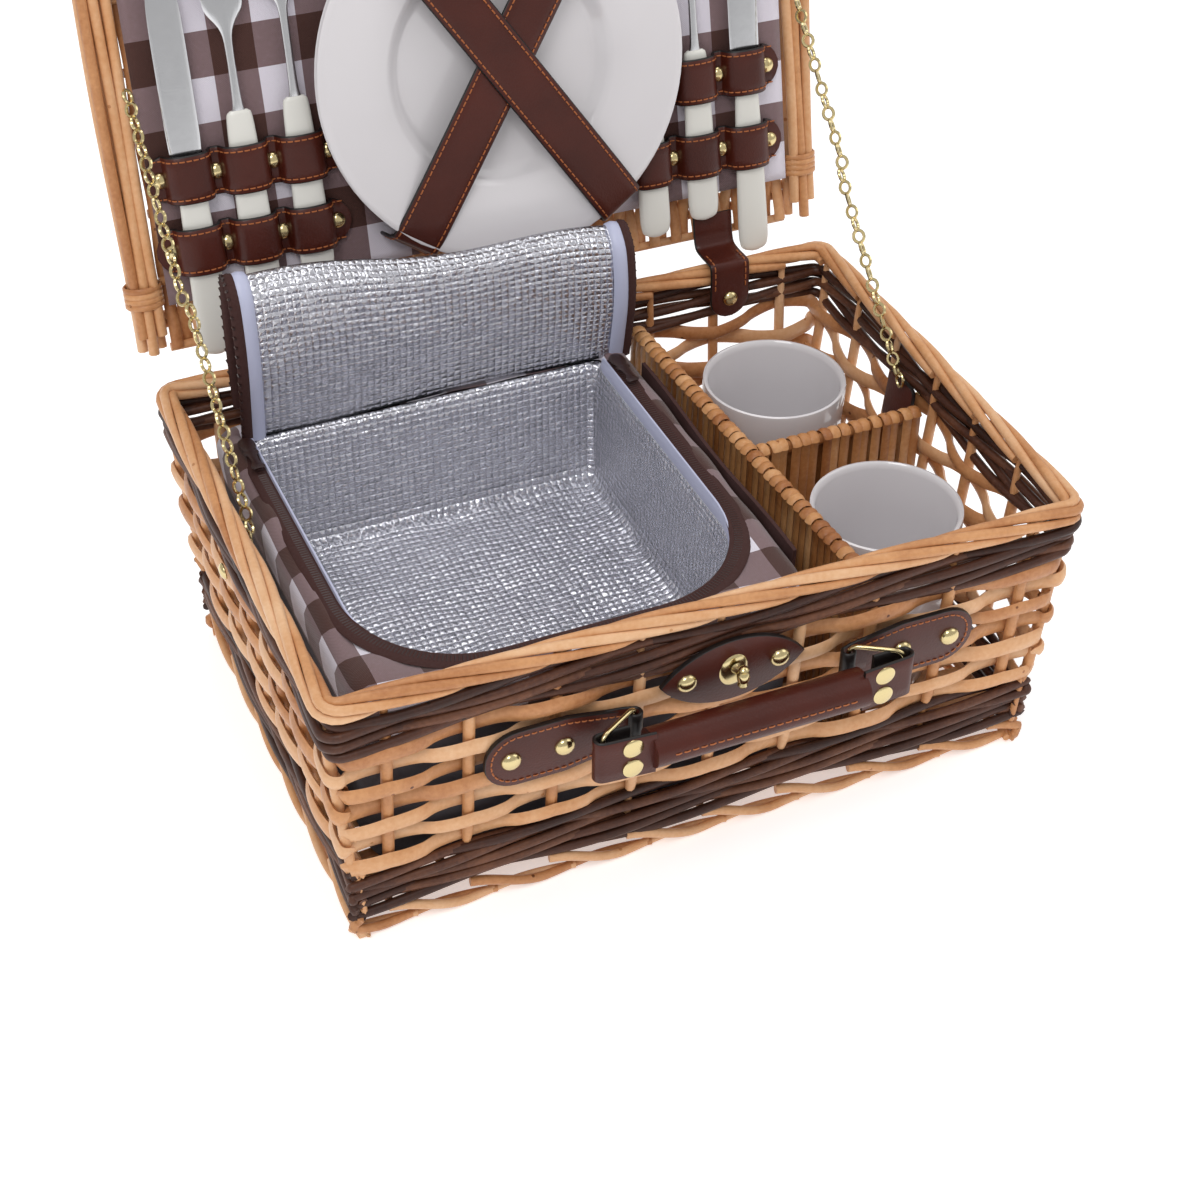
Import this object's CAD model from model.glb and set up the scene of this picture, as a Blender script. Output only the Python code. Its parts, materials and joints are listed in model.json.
"""A wicker picnic basket for two, open on its lid chains, with cooler, mugs, plates and cutlery."""

import json
import math

import bmesh
import bpy
import numpy as np
from mathutils import Matrix, Vector


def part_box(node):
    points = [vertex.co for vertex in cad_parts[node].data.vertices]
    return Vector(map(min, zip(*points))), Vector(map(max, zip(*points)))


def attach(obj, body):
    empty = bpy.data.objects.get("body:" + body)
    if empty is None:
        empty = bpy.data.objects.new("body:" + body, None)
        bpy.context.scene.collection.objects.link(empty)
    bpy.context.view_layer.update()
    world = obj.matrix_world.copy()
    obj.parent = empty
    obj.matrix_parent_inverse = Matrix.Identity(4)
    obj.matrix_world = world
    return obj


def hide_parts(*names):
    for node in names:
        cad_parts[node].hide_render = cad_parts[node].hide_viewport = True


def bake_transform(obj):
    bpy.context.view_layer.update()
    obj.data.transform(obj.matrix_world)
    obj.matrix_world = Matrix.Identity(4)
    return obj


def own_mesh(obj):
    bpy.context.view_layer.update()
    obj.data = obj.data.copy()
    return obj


bl_info = {
    "name": "Wicker picnic basket",
    "version": (1, 0, 0),
    "blender": (4, 5, 0),
    "location": "View3D > Sidebar > Basket",
    "description": "Models a fitted wicker picnic basket piece by piece",
    "category": "Add Mesh",
}

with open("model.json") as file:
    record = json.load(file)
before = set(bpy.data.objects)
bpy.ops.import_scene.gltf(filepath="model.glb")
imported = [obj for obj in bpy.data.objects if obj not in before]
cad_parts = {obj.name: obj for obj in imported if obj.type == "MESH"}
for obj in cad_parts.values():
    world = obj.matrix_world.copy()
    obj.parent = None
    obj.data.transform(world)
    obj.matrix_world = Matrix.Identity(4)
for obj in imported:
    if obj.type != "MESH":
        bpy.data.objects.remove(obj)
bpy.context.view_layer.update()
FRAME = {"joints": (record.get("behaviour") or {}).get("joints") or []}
MM = 0.001
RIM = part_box("base_rim_border")
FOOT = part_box("base_foot_border")
MID_Y = (RIM[0].y + RIM[1].y) / 2
HALF = (RIM[1].x, (RIM[1].y - RIM[0].y) / 2)
FLARE, FLARE_HEIGHT = 14 * MM, 160 * MM
CORNER = 13 * MM
STAKES = 32
HINGE = next(j for j in FRAME["joints"] if j["name"] == "lid_hinge")["pos_m"]
LEAN_BACK = math.radians(13.0)  # of the open lid
HINGE_X = 131 * MM  # the leather hinges, either side of the middle
CHAIN_X = 183 * MM  # the chains, either side of the middle
KNEE = 0.5197  # where a chain folds, as a share of its length from the base
HASP_UP = 297.6 * MM  # up the lid from the hinge line
PLATE_X, PLATE_UP = 9.5 * MM, 121.0 * MM  # the plates' middle on the lid
PLATE_STRAPS_UP = 124.75 * MM
CUTLERY_LEVEL = 6.1 * MM  # middle of the handles, proud of the lid
# the cutlery straps' heights up the lid, and the middle of each set across it
STRAP_RUNS = {
    ("left", "lower"): 53 * MM, ("left", "upper"): 91 * MM, ("right", "lower"): 50 * MM,
    ("right", "upper"): 92 * MM,
}
CUTLERY_MIDDLES = {"left": -130 * MM, "right": 124.5 * MM}
WALL_LEAN = math.atan(FLARE / FLARE_HEIGHT)


class BasketSettings(bpy.types.PropertyGroup):
    """The sizes and colours someone would change first."""

    weave_rows: bpy.props.IntProperty(
        name="Weave rows", description="Rows of split willow between the dark bands", default=7, min=4,
        max=10,
    )
    rod: bpy.props.FloatProperty(
        name="Border rod", description="Thickness of the rods in the plaited borders", default=5.3 * MM,
        unit="LENGTH",
    )
    ribbon: bpy.props.FloatProperty(
        name="Ribbon", description="Height of the split willow ribbons", default=9.4 * MM, unit="LENGTH"
    )
    check: bpy.props.FloatProperty(
        name="Check", description="Side of one gingham check", default=23 * MM, unit="LENGTH"
    )
    link: bpy.props.FloatProperty(
        name="Chain link", description="Outside length of one chain link", default=8.6 * MM, unit="LENGTH"
    )
    leather: bpy.props.FloatVectorProperty(
        name="Leather", description="Colour of the leather", subtype="COLOR_GAMMA",
        default=(0.255, 0.095, 0.06),
    )


# ---------------------------------------------------------------- materials


def rgb(code):
    """An sRGB hex colour as linear RGBA."""
    parts = [int(code[i : i + 2], 16) / 255 for i in (1, 3, 5)]
    return (*[c / 12.92 if c <= 0.04045 else ((c + 0.055) / 1.055) ** 2.4 for c in parts], 1.0)


def node(tree, kind, settings=None, links=None):
    """Adds a node, with attributes or input values set and inputs linked."""
    made = tree.nodes.new(kind)
    for key, value in (settings or {}).items():
        if isinstance(key, str) and hasattr(made, key) and key not in made.inputs:
            setattr(made, key, value)
        else:
            made.inputs[key].default_value = value
    for key, socket in (links or {}).items():
        tree.links.new(socket, made.inputs[key])
    return made


def surface(name, **values):
    """A new material with its shader's sockets set: the material, its tree and its shader."""
    made = bpy.data.materials.new(name)
    made.use_nodes = True
    shader = made.node_tree.nodes["Principled BSDF"]
    for key, value in values.items():
        shader.inputs[key.replace("_", " ")].default_value = value
    return made, made.node_tree, shader


def ramp(tree, factor, stops):
    """A colour ramp through (position, hex) stops."""
    made = node(tree, "ShaderNodeValToRGB", links={"Fac": factor})
    for i, (at, code) in enumerate(stops):
        element = made.color_ramp.elements[i] if i < 2 else made.color_ramp.elements.new(at)
        element.position, element.color = at, rgb(code)
    return made.outputs["Color"]


def bump(tree, shader, height, distance, strength=1.0):
    """Links a height to the shader's normal."""
    made = node(tree, "ShaderNodeBump", {"Distance": distance, "Strength": strength}, {"Height": height})
    tree.links.new(made.outputs["Normal"], shader.inputs["Normal"])
    return made


def maths(tree, what, *values):
    """A Math node over sockets or numbers."""
    made = tree.nodes.new("ShaderNodeMath")
    made.operation = what
    for i, value in enumerate(values):
        if isinstance(value, (int, float)):
            made.inputs[i].default_value = value
        else:
            tree.links.new(value, made.inputs[i])
    return made.outputs[0]


def willow(name, stops, roughness=0.42):
    """Peeled willow rods under thin clear lacquer: soft sheen, streaks and the odd dark nick."""
    made, tree, shader = surface(
        name, Roughness=roughness, Coat_Weight=0.05, Coat_Roughness=0.3, Specular_IOR_Level=0.35
    )
    at = node(tree, "ShaderNodeTexCoord").outputs["Object"]
    tint = node(tree, "ShaderNodeAttribute", {"attribute_name": "tint"}).outputs["Fac"]
    broad = node(tree, "ShaderNodeTexNoise", {"Scale": 38.0, "Detail": 4.0}, {"Vector": at}).outputs["Fac"]
    fine = node(tree, "ShaderNodeTexNoise", {"Scale": 420.0, "Detail": 3.0}, {"Vector": at}).outputs["Fac"]
    mixed = maths(tree, "ADD", maths(tree, "MULTIPLY", tint, 0.55), maths(tree, "MULTIPLY", broad, 0.62))
    mixed = maths(tree, "ADD", mixed, maths(tree, "MULTIPLY", maths(tree, "SUBTRACT", fine, 0.5), 0.30))
    nick = node(tree, "ShaderNodeTexVoronoi", {"Scale": 55.0}, {"Vector": at}).outputs["Distance"]
    nick = maths(tree, "LESS_THAN", nick, 0.055)
    mixed = maths(tree, "ADD", mixed, maths(tree, "MULTIPLY", nick, -0.35))
    tree.links.new(ramp(tree, mixed, stops), shader.inputs["Base Color"])
    bump(tree, shader, fine, 0.35 * MM, 0.5)
    return made


def leather_finish(name, code, roughness=0.36):
    """Smooth cow-hide, dyed and waxed: fine grain under a soft shine, paler where it bends."""
    made, tree, shader = surface(name, Roughness=roughness, Specular_IOR_Level=0.32)
    at = node(tree, "ShaderNodeTexCoord").outputs["Object"]
    cloud = node(tree, "ShaderNodeTexNoise", {"Scale": 30.0, "Detail": 5.0}, {"Vector": at}).outputs["Fac"]
    grain = node(tree, "ShaderNodeTexVoronoi", {"Scale": 900.0}, {"Vector": at}).outputs["Distance"]
    base = rgb(code)
    pale = tuple(min(1, c * 1.7) for c in base[:3]) + (1,)
    dark = tuple(c * 0.62 for c in base[:3]) + (1,)
    mixed = node(tree, "ShaderNodeMix", {"data_type": "RGBA"}, {0: cloud})
    mixed.inputs[6].default_value, mixed.inputs[7].default_value = dark, pale
    tree.links.new(mixed.outputs[2], shader.inputs["Base Color"])
    bump(tree, shader, grain, 0.12 * MM, 0.6)
    return made


def plain(name, code, roughness, metallic=0.0, scale=160.0, depth=0.05 * MM, **more):
    """A smooth solid finish with faint unevenness in its gloss and surface."""
    made, tree, shader = surface(name, Metallic=metallic, Base_Color=rgb(code), **more)
    at = node(tree, "ShaderNodeTexCoord").outputs["Object"]
    noise = node(tree, "ShaderNodeTexNoise", {"Scale": scale, "Detail": 4.0}, {"Vector": at}).outputs["Fac"]
    low, high = roughness * 0.8, roughness * 1.2
    spread = node(tree, "ShaderNodeMapRange", {"To Min": low, "To Max": high}, {"Value": noise})
    tree.links.new(spread.outputs[0], shader.inputs["Roughness"])
    bump(tree, shader, noise, depth, 0.4)
    return made


def gingham(name, check):
    """Woven cotton in three tones: white, half and full brown where the dyed stripes cross."""
    made, tree, shader = surface(name, Roughness=0.9, Sheen_Weight=0.25)
    uv = node(tree, "ShaderNodeUVMap", {"uv_map": "cloth"}).outputs["UV"]
    parts = node(tree, "ShaderNodeSeparateXYZ", links={0: uv})
    stripes, threads = [], []
    for i in range(2):
        cell = maths(tree, "FRACT", maths(tree, "DIVIDE", parts.outputs[i], 2 * check))
        stripes.append(maths(tree, "LESS_THAN", cell, 0.5))
        wave = maths(tree, "MULTIPLY", parts.outputs[i], 2 * math.pi / (1.1 * MM))
        threads.append(maths(tree, "SINE", wave))
    # threads are drawn 1.1 mm apart, about twice the real spacing, so that they show
    weave = maths(tree, "MULTIPLY", threads[0], threads[1])
    both = maths(tree, "MULTIPLY", maths(tree, "ADD", *stripes), 0.5)
    slub = node(tree, "ShaderNodeTexNoise", {"Scale": 500.0, "Detail": 3.0}, {"Vector": uv}).outputs["Fac"]
    both = maths(tree, "ADD", both, maths(tree, "MULTIPLY", maths(tree, "SUBTRACT", slub, 0.5), 0.35))
    both = maths(tree, "ADD", both, maths(tree, "MULTIPLY", weave, 0.05))
    colour = ramp(tree, both, ((0.12, "#DAD4DE"), (0.42, "#7D666A"), (0.62, "#76605F"), (0.92, "#43231B")))
    tree.links.new(colour, shader.inputs["Base Color"])
    bump(tree, shader, weave, 0.15 * MM, 0.5)
    return made


def foil_finish():
    """Aluminised film welded over bubble wrap: bright, with a small regular blister and creases."""
    made, tree, shader = surface(
        "aluminised_bubble_film", Metallic=0.92, Roughness=0.2, Base_Color=rgb("#CFCFD6")
    )
    uv = node(tree, "ShaderNodeUVMap", {"uv_map": "cloth"}).outputs["UV"]
    parts = node(tree, "ShaderNodeSeparateXYZ", links={0: uv})
    waves = [
        maths(tree, "SINE", maths(tree, "MULTIPLY", parts.outputs[i], math.pi / (3.8 * MM))) for i in (0, 1)
    ]
    blister = maths(tree, "POWER", maths(tree, "ABSOLUTE", maths(tree, "MULTIPLY", *waves)), 0.6)
    crease = node(
        tree, "ShaderNodeTexNoise", {"Scale": 210.0, "Detail": 5.0}, {"Vector": uv}
    ).outputs["Fac"]
    fold = node(tree, "ShaderNodeTexNoise", {"Scale": 36.0, "Detail": 2.0}, {"Vector": uv}).outputs["Fac"]
    shard = node(tree, "ShaderNodeTexVoronoi", {"Scale": 330.0}, {"Vector": uv}).outputs["Distance"]
    height = maths(
        tree, "ADD", maths(tree, "MULTIPLY", blister, 0.75), maths(tree, "MULTIPLY", crease, 1.0)
    )
    height = maths(tree, "ADD", height, maths(tree, "MULTIPLY", fold, 2.6))
    height = maths(tree, "ADD", height, maths(tree, "MULTIPLY", shard, 0.6))
    bump(tree, shader, height, 1.0 * MM, 1.0)
    return made


FINISHES = {}


def finish(name):
    """The named material, made once."""
    if FINISHES:
        return FINISHES[name]
    settings = bpy.context.scene.basket
    brown = "#" + "".join(f"{round(c * 255):02X}" for c in settings.leather)
    natural = ((0.05, "#5E3218"), (0.28, "#A66B40"), (0.6, "#CC9464"), (0.98, "#E2B890"))
    dark = ((0.1, "#1A0B06"), (0.4, "#33190F"), (0.65, "#4C2A1B"), (0.95, "#754A32"))
    orange = ((0.05, "#5A2D14"), (0.4, "#9C6236"), (0.7, "#BE8654"), (0.95, "#D8A878"))
    FINISHES.update(
        natural=willow("peeled_white_willow", natural),
        dark=willow("boiled_dark_willow", dark, 0.5),
        cane=willow("buff_cane", orange),
        leather=leather_finish("waxed_brown_hide", brown),
        edge=plain("black_edge_paint", "#120B0A", 0.45),
        thread=plain("waxed_linen_thread", "#A35C2E", 0.7, scale=900.0),
        brass=plain("polished_brass", "#D3C190", 0.2, 1.0),
        steel=plain("mirror_stainless_steel", "#C9C9CB", 0.16, 1.0),
        china=plain("white_glazed_stoneware", "#D6D2D4", 0.13, Coat_Weight=0.4, scale=30.0),
        ivory=plain("moulded_cream_acrylic", "#DCDAD3", 0.25),
        vinyl=plain("pale_vinyl_binding", "#B7BAD2", 0.4),
        tape=plain("brown_polyester_tape", "#3A1C18", 0.85, scale=700.0, depth=0.2 * MM),
        teeth=plain("brown_zip_coil", "#2A1411", 0.4),
        grey=plain("grey_nonwoven_cloth", "#4C494E", 0.9, scale=600.0, depth=0.2 * MM),
        gingham=gingham("cotton_gingham", settings.check),
        foil=foil_finish(),
    )
    return FINISHES[name]


# ---------------------------------------------------------------- mesh helpers


def piece(name, verts, faces, finishes, body=None, covers=(), tint=None, uv=None, index=None, smooth=40):
    """An object from mesh data, with its finishes, its body and the CAD nodes it stands for."""
    data = bpy.data.meshes.new(name)
    data.from_pydata([tuple(v) for v in verts], [], [tuple(int(i) for i in f) for f in faces])
    for each in finishes:
        data.materials.append(finish(each))
    if index is not None:
        data.polygons.foreach_set("material_index", np.array(index, np.int32))
    if tint is not None:
        layer = data.attributes.new("tint", "FLOAT", "POINT")
        layer.data.foreach_set("value", np.array(tint, np.float32))
    if uv is not None:
        layer = data.uv_layers.new(name="cloth")
        loops = np.zeros(len(data.loops), np.int32)
        data.loops.foreach_get("vertex_index", loops)
        layer.data.foreach_set("uv", np.array(uv, np.float32)[loops].ravel())
    data.update()
    made = bpy.data.objects.new(name, data)
    bpy.context.scene.collection.objects.link(made)
    data.shade_smooth()
    if smooth:
        data.set_sharp_from_angle(angle=math.radians(smooth))
    if body:
        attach(made, body)
    if covers:
        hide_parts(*covers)
    return made


def outward(made, inside_out=False):
    """Turns every face of a closed mesh outward, or the other way."""
    bm = bmesh.new()
    bm.from_mesh(made.data)
    bmesh.ops.recalc_face_normals(bm, faces=bm.faces)
    if inside_out:
        bmesh.ops.reverse_faces(bm, faces=bm.faces)
    bm.to_mesh(made.data)
    bm.free()


def unit(v):
    """Vectors at length one."""
    return v / np.maximum(np.linalg.norm(v, axis=-1, keepdims=True), 1e-12)


def sweep(points, normals, section, closed=False, scale=None):
    """Vertices and faces of a section (across, out) swept along points. Across lies square to the normals."""
    p, n = np.asarray(points, float), unit(np.asarray(normals, float))
    if closed:
        t = unit(np.roll(p, -1, 0) - np.roll(p, 1, 0))
    else:
        t = unit(np.gradient(p, axis=0))
    b = unit(np.cross(t, n))
    n = np.cross(b, t)
    sec = np.asarray(section, float)
    k, m = len(sec), len(p)
    grow = np.ones(m) if scale is None else np.asarray(scale, float)
    verts = (
        p[:, None]
        + b[:, None] * sec[None, :, 0, None] * grow[:, None, None]
        + n[:, None] * sec[None, :, 1, None] * grow[:, None, None]
    ).reshape(-1, 3)
    faces = []
    for j in range(m if closed else m - 1):
        j2 = (j + 1) % m
        for i in range(k):
            i2 = (i + 1) % k
            faces.append((j * k + i, j * k + i2, j2 * k + i2, j2 * k + i))
    if not closed:
        faces.append(tuple(range(k - 1, -1, -1)))
        faces.append(tuple(range((m - 1) * k, m * k)))
    return verts, faces


def ellipse(across, out, sides=8):
    """A section: half sizes across and out."""
    turns = [2 * math.pi * i / sides for i in range(sides)]
    return [(across * math.cos(a), out * math.sin(a)) for a in turns]


class Bundle:
    """Many strands gathered into one mesh, each with its own tint."""

    def __init__(self):
        self.verts, self.faces, self.tint, self.count, self.index = [], [], [], 0, []

    def add(self, points, normals, section, tint, closed=False, scale=None):
        """Sweeps one more strand."""
        verts, faces = sweep(points, normals, section, closed, scale)
        self.verts.append(verts)
        self.faces += [tuple(i + self.count for i in f) for f in faces]
        self.tint += [tint] * len(verts)
        self.index += [0] * len(faces)
        self.count += len(verts)

    def make(self, name, finishes, body, covers=()):
        """One object from all the strands."""
        verts = np.vstack(self.verts)
        made = piece(name, verts, self.faces, finishes, None, (), self.tint, index=self.index, smooth=50)
        outward(made)
        if body:
            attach(made, body)
        if covers:
            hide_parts(*covers)
        return made


RNG = np.random.default_rng(7)


def shade():
    """A strand's tint, from its own fixed series."""
    return float(RNG.uniform(0.15, 0.95))


def smooth_path(points, count):
    """A smooth curve through points, sampled evenly (Catmull-Rom)."""
    p = np.asarray(points, float)
    ext = np.vstack([2 * p[0] - p[1], p, 2 * p[-1] - p[-2]])
    out = []
    for t in np.linspace(0, len(p) - 1, count):
        i = min(int(t), len(p) - 2)
        f = t - i
        a, b, c, d = ext[i], ext[i + 1], ext[i + 2], ext[i + 3]
        bend, twist = 2 * a - 5 * b + 4 * c - d, 3 * b - a - 3 * c + d
        out.append(0.5 * (2 * b + (c - a) * f + bend * f**2 + twist * f**3))
    return np.array(out)


def ring_outline(half, corner, count=720):
    """A rounded rectangle from the middle of the front, by arc length: points and outward normals."""
    hx, hy = half
    raw, nrm = [], []
    for (cx, cy), start in (((hx, -hy), -90), ((hx, hy), 0), ((-hx, hy), 90), ((-hx, -hy), 180)):
        ox, oy = cx - math.copysign(corner, cx), cy - math.copysign(corner, cy)
        for i in range(17):
            a = math.radians(start + 90 * i / 16)
            raw.append((ox + corner * math.cos(a), oy + corner * math.sin(a)))
            nrm.append((math.cos(a), math.sin(a)))
    raw, nrm = np.array(raw), np.array(nrm)
    first = np.array([[0, -hy]])
    raw, nrm = np.vstack([first, raw, first]), np.vstack([[[0, -1]], nrm, [[0, -1]]])
    steps = np.concatenate([[0], np.cumsum(np.linalg.norm(np.diff(raw, axis=0), axis=1))])
    at = np.linspace(0, steps[-1], count, endpoint=False)
    points = np.stack([np.interp(at, steps, raw[:, i]) for i in (0, 1)], 1)
    normals = unit(np.stack([np.interp(at, steps, nrm[:, i]) for i in (0, 1)], 1))
    return points, normals


WALL_P, WALL_N = ring_outline(HALF, CORNER)


def on_wall(u, z, inset):
    """Points on the leaning wall: u in turns from the front's middle, height z, depth in from its face."""
    u, z, inset = np.broadcast_arrays(np.asarray(u, float), z, inset)
    k = (u % 1.0) * len(WALL_P)
    i = k.astype(int) % len(WALL_P)
    f = (k - np.floor(k))[:, None]
    j = (i + 1) % len(WALL_P)
    p, n = WALL_P[i] * (1 - f) + WALL_P[j] * f, unit(WALL_N[i] * (1 - f) + WALL_N[j] * f)
    lean = np.maximum(0, FLARE * (1 - z / FLARE_HEIGHT)) + inset
    xy = p - n * lean[:, None]
    points = np.column_stack([xy[:, 0], xy[:, 1] + MID_Y, z])
    return points, np.column_stack([n, np.zeros(len(n))])


def on_lid(x, s, n=0.0):
    """A point of the open lid: across, up from the hinge line, and proud of it."""
    x, s, n = np.broadcast_arrays(np.asarray(x, float), s, n)
    c, k = math.cos(LEAN_BACK), math.sin(LEAN_BACK)
    return np.stack([x, HINGE[1] + s * k - n * c, HINGE[2] + s * c + n * k], -1)


LID_OUT = np.array([0, -math.cos(LEAN_BACK), math.sin(LEAN_BACK)])
LID_UP = np.array([0, math.sin(LEAN_BACK), math.cos(LEAN_BACK)])


def operator(label, work):
    """An operator class that makes one group of pieces."""
    def execute(self, context):
        work()
        return {"FINISHED"}

    key = label.lower().replace(" ", "_")
    body = {"bl_idname": f"basket.{key}", "bl_label": label, "__doc__": work.__doc__, "execute": execute}
    return type(f"BASKET_OT_{key}", (bpy.types.Operator,), body)


# ---------------------------------------------------------------- wicker


def base_walls():
    """The base's stakes, split-willow rows and the two dark bands."""
    settings = bpy.context.scene.basket
    low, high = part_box("base_weave")[0].z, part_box("base_weave")[1].z
    rows = settings.weave_rows
    pitch = (high - low) / rows
    u = np.linspace(0, 1, 512, endpoint=False)
    weave = Bundle()
    for r in range(rows):
        phase = math.pi * (STAKES * u + r)
        swing = np.cos(phase)
        inset = 5.0 * MM - np.sign(swing) * np.abs(swing) ** 0.7 * 4.0 * MM
        # ribbons close up in pairs at one stake and part at the next
        z = low + pitch * (r + 0.5) + 2.3 * MM * np.arcsin(swing) * 2 / math.pi
        z = z + 0.8 * MM * np.sin(2 * math.pi * (11 * u + 0.71 * r))
        p, n = on_wall(u, z, inset)
        half = settings.ribbon / 2 * (1 + 0.12 * np.sin(2 * math.pi * (5 * u + 0.3 * r)))
        weave.add(p, n, ellipse(1.0, 0.40, 8), shade(), True, half)
    for i in range(STAKES):
        z = np.linspace(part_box("base_lower_band")[0].z, RIM[0].z + 4 * MM, 12)
        # behind the dark bands the stakes lie deeper, covered from outside
        hidden = np.where((z < low) | (z > high), 1.0, 0.0)
        p, n = on_wall(np.full(12, i / STAKES) + 0.0008 * math.sin(i * 2.1), z, (5.0 + 1.8 * hidden) * MM)
        weave.add(p, n, ellipse(3.1 * MM, 2.8 * MM, 8), shade(), False, 1 - 0.35 * hidden)
    weave.make("wall_weave", ["natural"], "basket", ["base_weave"])
    for name, count in (("base_lower_band", 8), ("base_upper_band", 6)):
        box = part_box(name)
        band = Bundle()
        step = (box[1].z - box[0].z) / count
        for k in range(count):
            phase = 2 * math.pi * (STAKES * u / 4 + k * 0.37 + 0.13 * math.sin(k * 5))
            inset = 4.6 * MM - 2.4 * MM * np.cos(phase)
            z = box[0].z + step * (k + 0.5) + 2.2 * MM * np.sin(phase)
            z = z + 0.5 * MM * np.sin(2 * math.pi * 9 * u + k)
            p, n = on_wall(u, z, inset)
            band.add(p, n, ellipse(2.6 * MM, 2.4 * MM, 8), shade(), True)
        band.make(name.replace("base_", "wall_"), ["dark"], "basket", [name])


def borders():
    """The plaited rim and the looser plait along the foot."""
    settings = bpy.context.scene.basket
    rod = settings.rod / 2
    rim = Bundle()
    span = 4.0
    for i in range(STAKES):
        t = np.linspace(0, 1, 34)
        u = (i + t * span) / STAKES
        turn = np.radians(212 - 285 * t)
        middle = (RIM[0].z + RIM[1].z) / 2
        # each rod rises inside, lies over the top and ends, cut to a point, low on the outside
        z = middle + (RIM[1].z - middle - rod * 0.75) * np.sin(turn)
        inset = 6.4 * MM - (4.1 + 0.5 * math.sin(2.4 * i)) * MM * np.cos(turn)
        p, n = on_wall(u, np.full_like(t, FLARE_HEIGHT), inset)
        p[:, 2] = z
        out = n * np.cos(turn)[:, None] + np.array([0, 0, 1]) * np.sin(turn)[:, None]
        taper = 1.0 - 0.12 * t - 0.75 * np.clip((t - 0.93) / 0.07, 0, 1)
        rim.add(p, out, ellipse(rod * 1.02, rod * 0.86, 9), shade(), False, taper)
    rim.make("rim_plait", ["natural"], "basket", ["base_rim_border"])
    foot = Bundle()
    for i in range(STAKES):
        t = np.linspace(0, 1, 26)
        u = (i + t * 2.35) / STAKES
        drop = np.clip(t * 2.35, 0, 1)
        z = FOOT[1].z - 1.5 * MM - (FOOT[1].z - 1.5 * MM - rod) * (3 * drop**2 - 2 * drop**3)
        inset = 5.0 * MM - 2.4 * MM * np.sin(2 * math.pi * t) - 1.0 * MM
        p, n = on_wall(u, z, inset)
        foot.add(p, n, ellipse(rod, rod * 0.95, 8), shade(), False, 1.0 - 0.25 * t)
    foot.make("foot_plait", ["natural"], "basket", ["base_foot_border"])


def woven_panel(bundle, across, along, gap, crossings, at, out, thick=3.0 * MM, swing=2.4 * MM):
    """Close rods running along, each passing over and under the crossing rods."""
    count = max(2, round((across[1] - across[0]) / gap))
    step = (across[1] - across[0]) / count
    lines = np.linspace(along[0], along[1], crossings)
    run = np.linspace(along[0], along[1], 5 * crossings + 1)
    for i in range(count):
        a = across[0] + step * (i + 0.5)
        phase = math.pi * ((run - lines[0]) / (lines[1] - lines[0]) + i)
        p = at(a + 0.25 * MM * np.sin(run * 90 + i), run, swing * np.cos(phase))
        bundle.add(p, np.tile(out, (len(run), 1)), ellipse(step * 0.5, thick / 2, 8), shade())
    span = np.linspace(across[0], across[1], 24)
    for line in lines:
        crossing = at(span, np.full(24, line), 0.0)
        bundle.add(crossing, np.tile(out, (24, 1)), ellipse(2.4 * MM, 2.0 * MM, 8), shade())


def base_bottom():
    """The woven floor of the base."""
    low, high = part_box("base_floor")
    middle = (low.z + high.z) / 2
    floor = Bundle()

    def at(y, x, n):
        x, y, n = np.broadcast_arrays(x, y, n)
        return np.stack([x, y, middle + n * 0.55], -1)

    woven_panel(
        floor, (low.y, high.y), (low.x + 2 * MM, high.x - 2 * MM), 7.4 * MM, 10, at, [0, 0, 1], 3.4 * MM
    )
    floor.make("floor_weave", ["natural"], "basket", ["base_floor"])


def lid_wicker():
    """The lid's woven panel and the rod bundles round its edge."""
    lid = Bundle()
    inner = (-0.1815, 0.1815)
    woven_panel(
        lid, inner, (-0.001, 0.2905), 6.6 * MM, 9, lambda x, s, n: on_lid(x, s, n - 9.6 * MM), LID_OUT,
        3.6 * MM, 2.9 * MM,
    )
    lid.make("lid_panel", ["natural"], "lid", ["lid_weave"])
    edge = Bundle()
    s = np.linspace(-0.0005, 0.2915, 32)
    for side in (-1, 1):
        for k in range(6):
            column, layer = k % 3, k // 3
            x = side * (0.1858 + 0.0054 * column + 0.7 * MM * np.sin(s * 26 + 2.1 * k))
            n = -3.6 * MM - 7.6 * MM * layer + 0.8 * MM * np.sin(s * 31 + k * 1.3)
            ends = slice(0, None) if k % 2 else slice(1, -1)
            path = on_lid(x, s, n)[ends]
            edge.add(path, np.tile(LID_OUT, (len(path), 1)), ellipse(2.9 * MM, 3.1 * MM, 8), shade())
    x = np.linspace(-0.197, 0.197, 60)
    for row in (0.0105, 0.0165, 0.2785, 0.2850):
        for layer in (0, 1) if row > 0.1 else (1,):
            n = -3.4 * MM - 11.2 * MM * layer + 1.4 * MM * np.sin(x * 160 + row * 900 + 3 * layer)
            at = on_lid(x, row + 0.9 * MM * np.sin(x * 160 + row * 500), n)
            edge.add(at, np.tile(LID_OUT, (len(x), 1)), ellipse(2.7 * MM, 2.7 * MM, 8), shade())
    # a cane lashing holds each corner's bundle
    for side in (-1, 1):
        for corner in (0.026, 0.262):
            for k in range(4):
                turn = np.linspace(0, 2 * math.pi, 20, endpoint=False)
                x = side * (0.1912 + 9.6 * MM * np.cos(turn))
                n = -7.6 * MM + 8.6 * MM * np.sin(turn)
                centre = on_lid(side * 0.1912, corner + k * 3.0 * MM, -7.6 * MM)
                p = on_lid(x, corner + k * 3.0 * MM + 0 * x, n)
                edge.add(p, p - centre, ellipse(1.6 * MM, 0.9 * MM, 6), shade(), True)
    edge.make("lid_edge", ["natural"], "lid", ["lid_border"])


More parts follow.
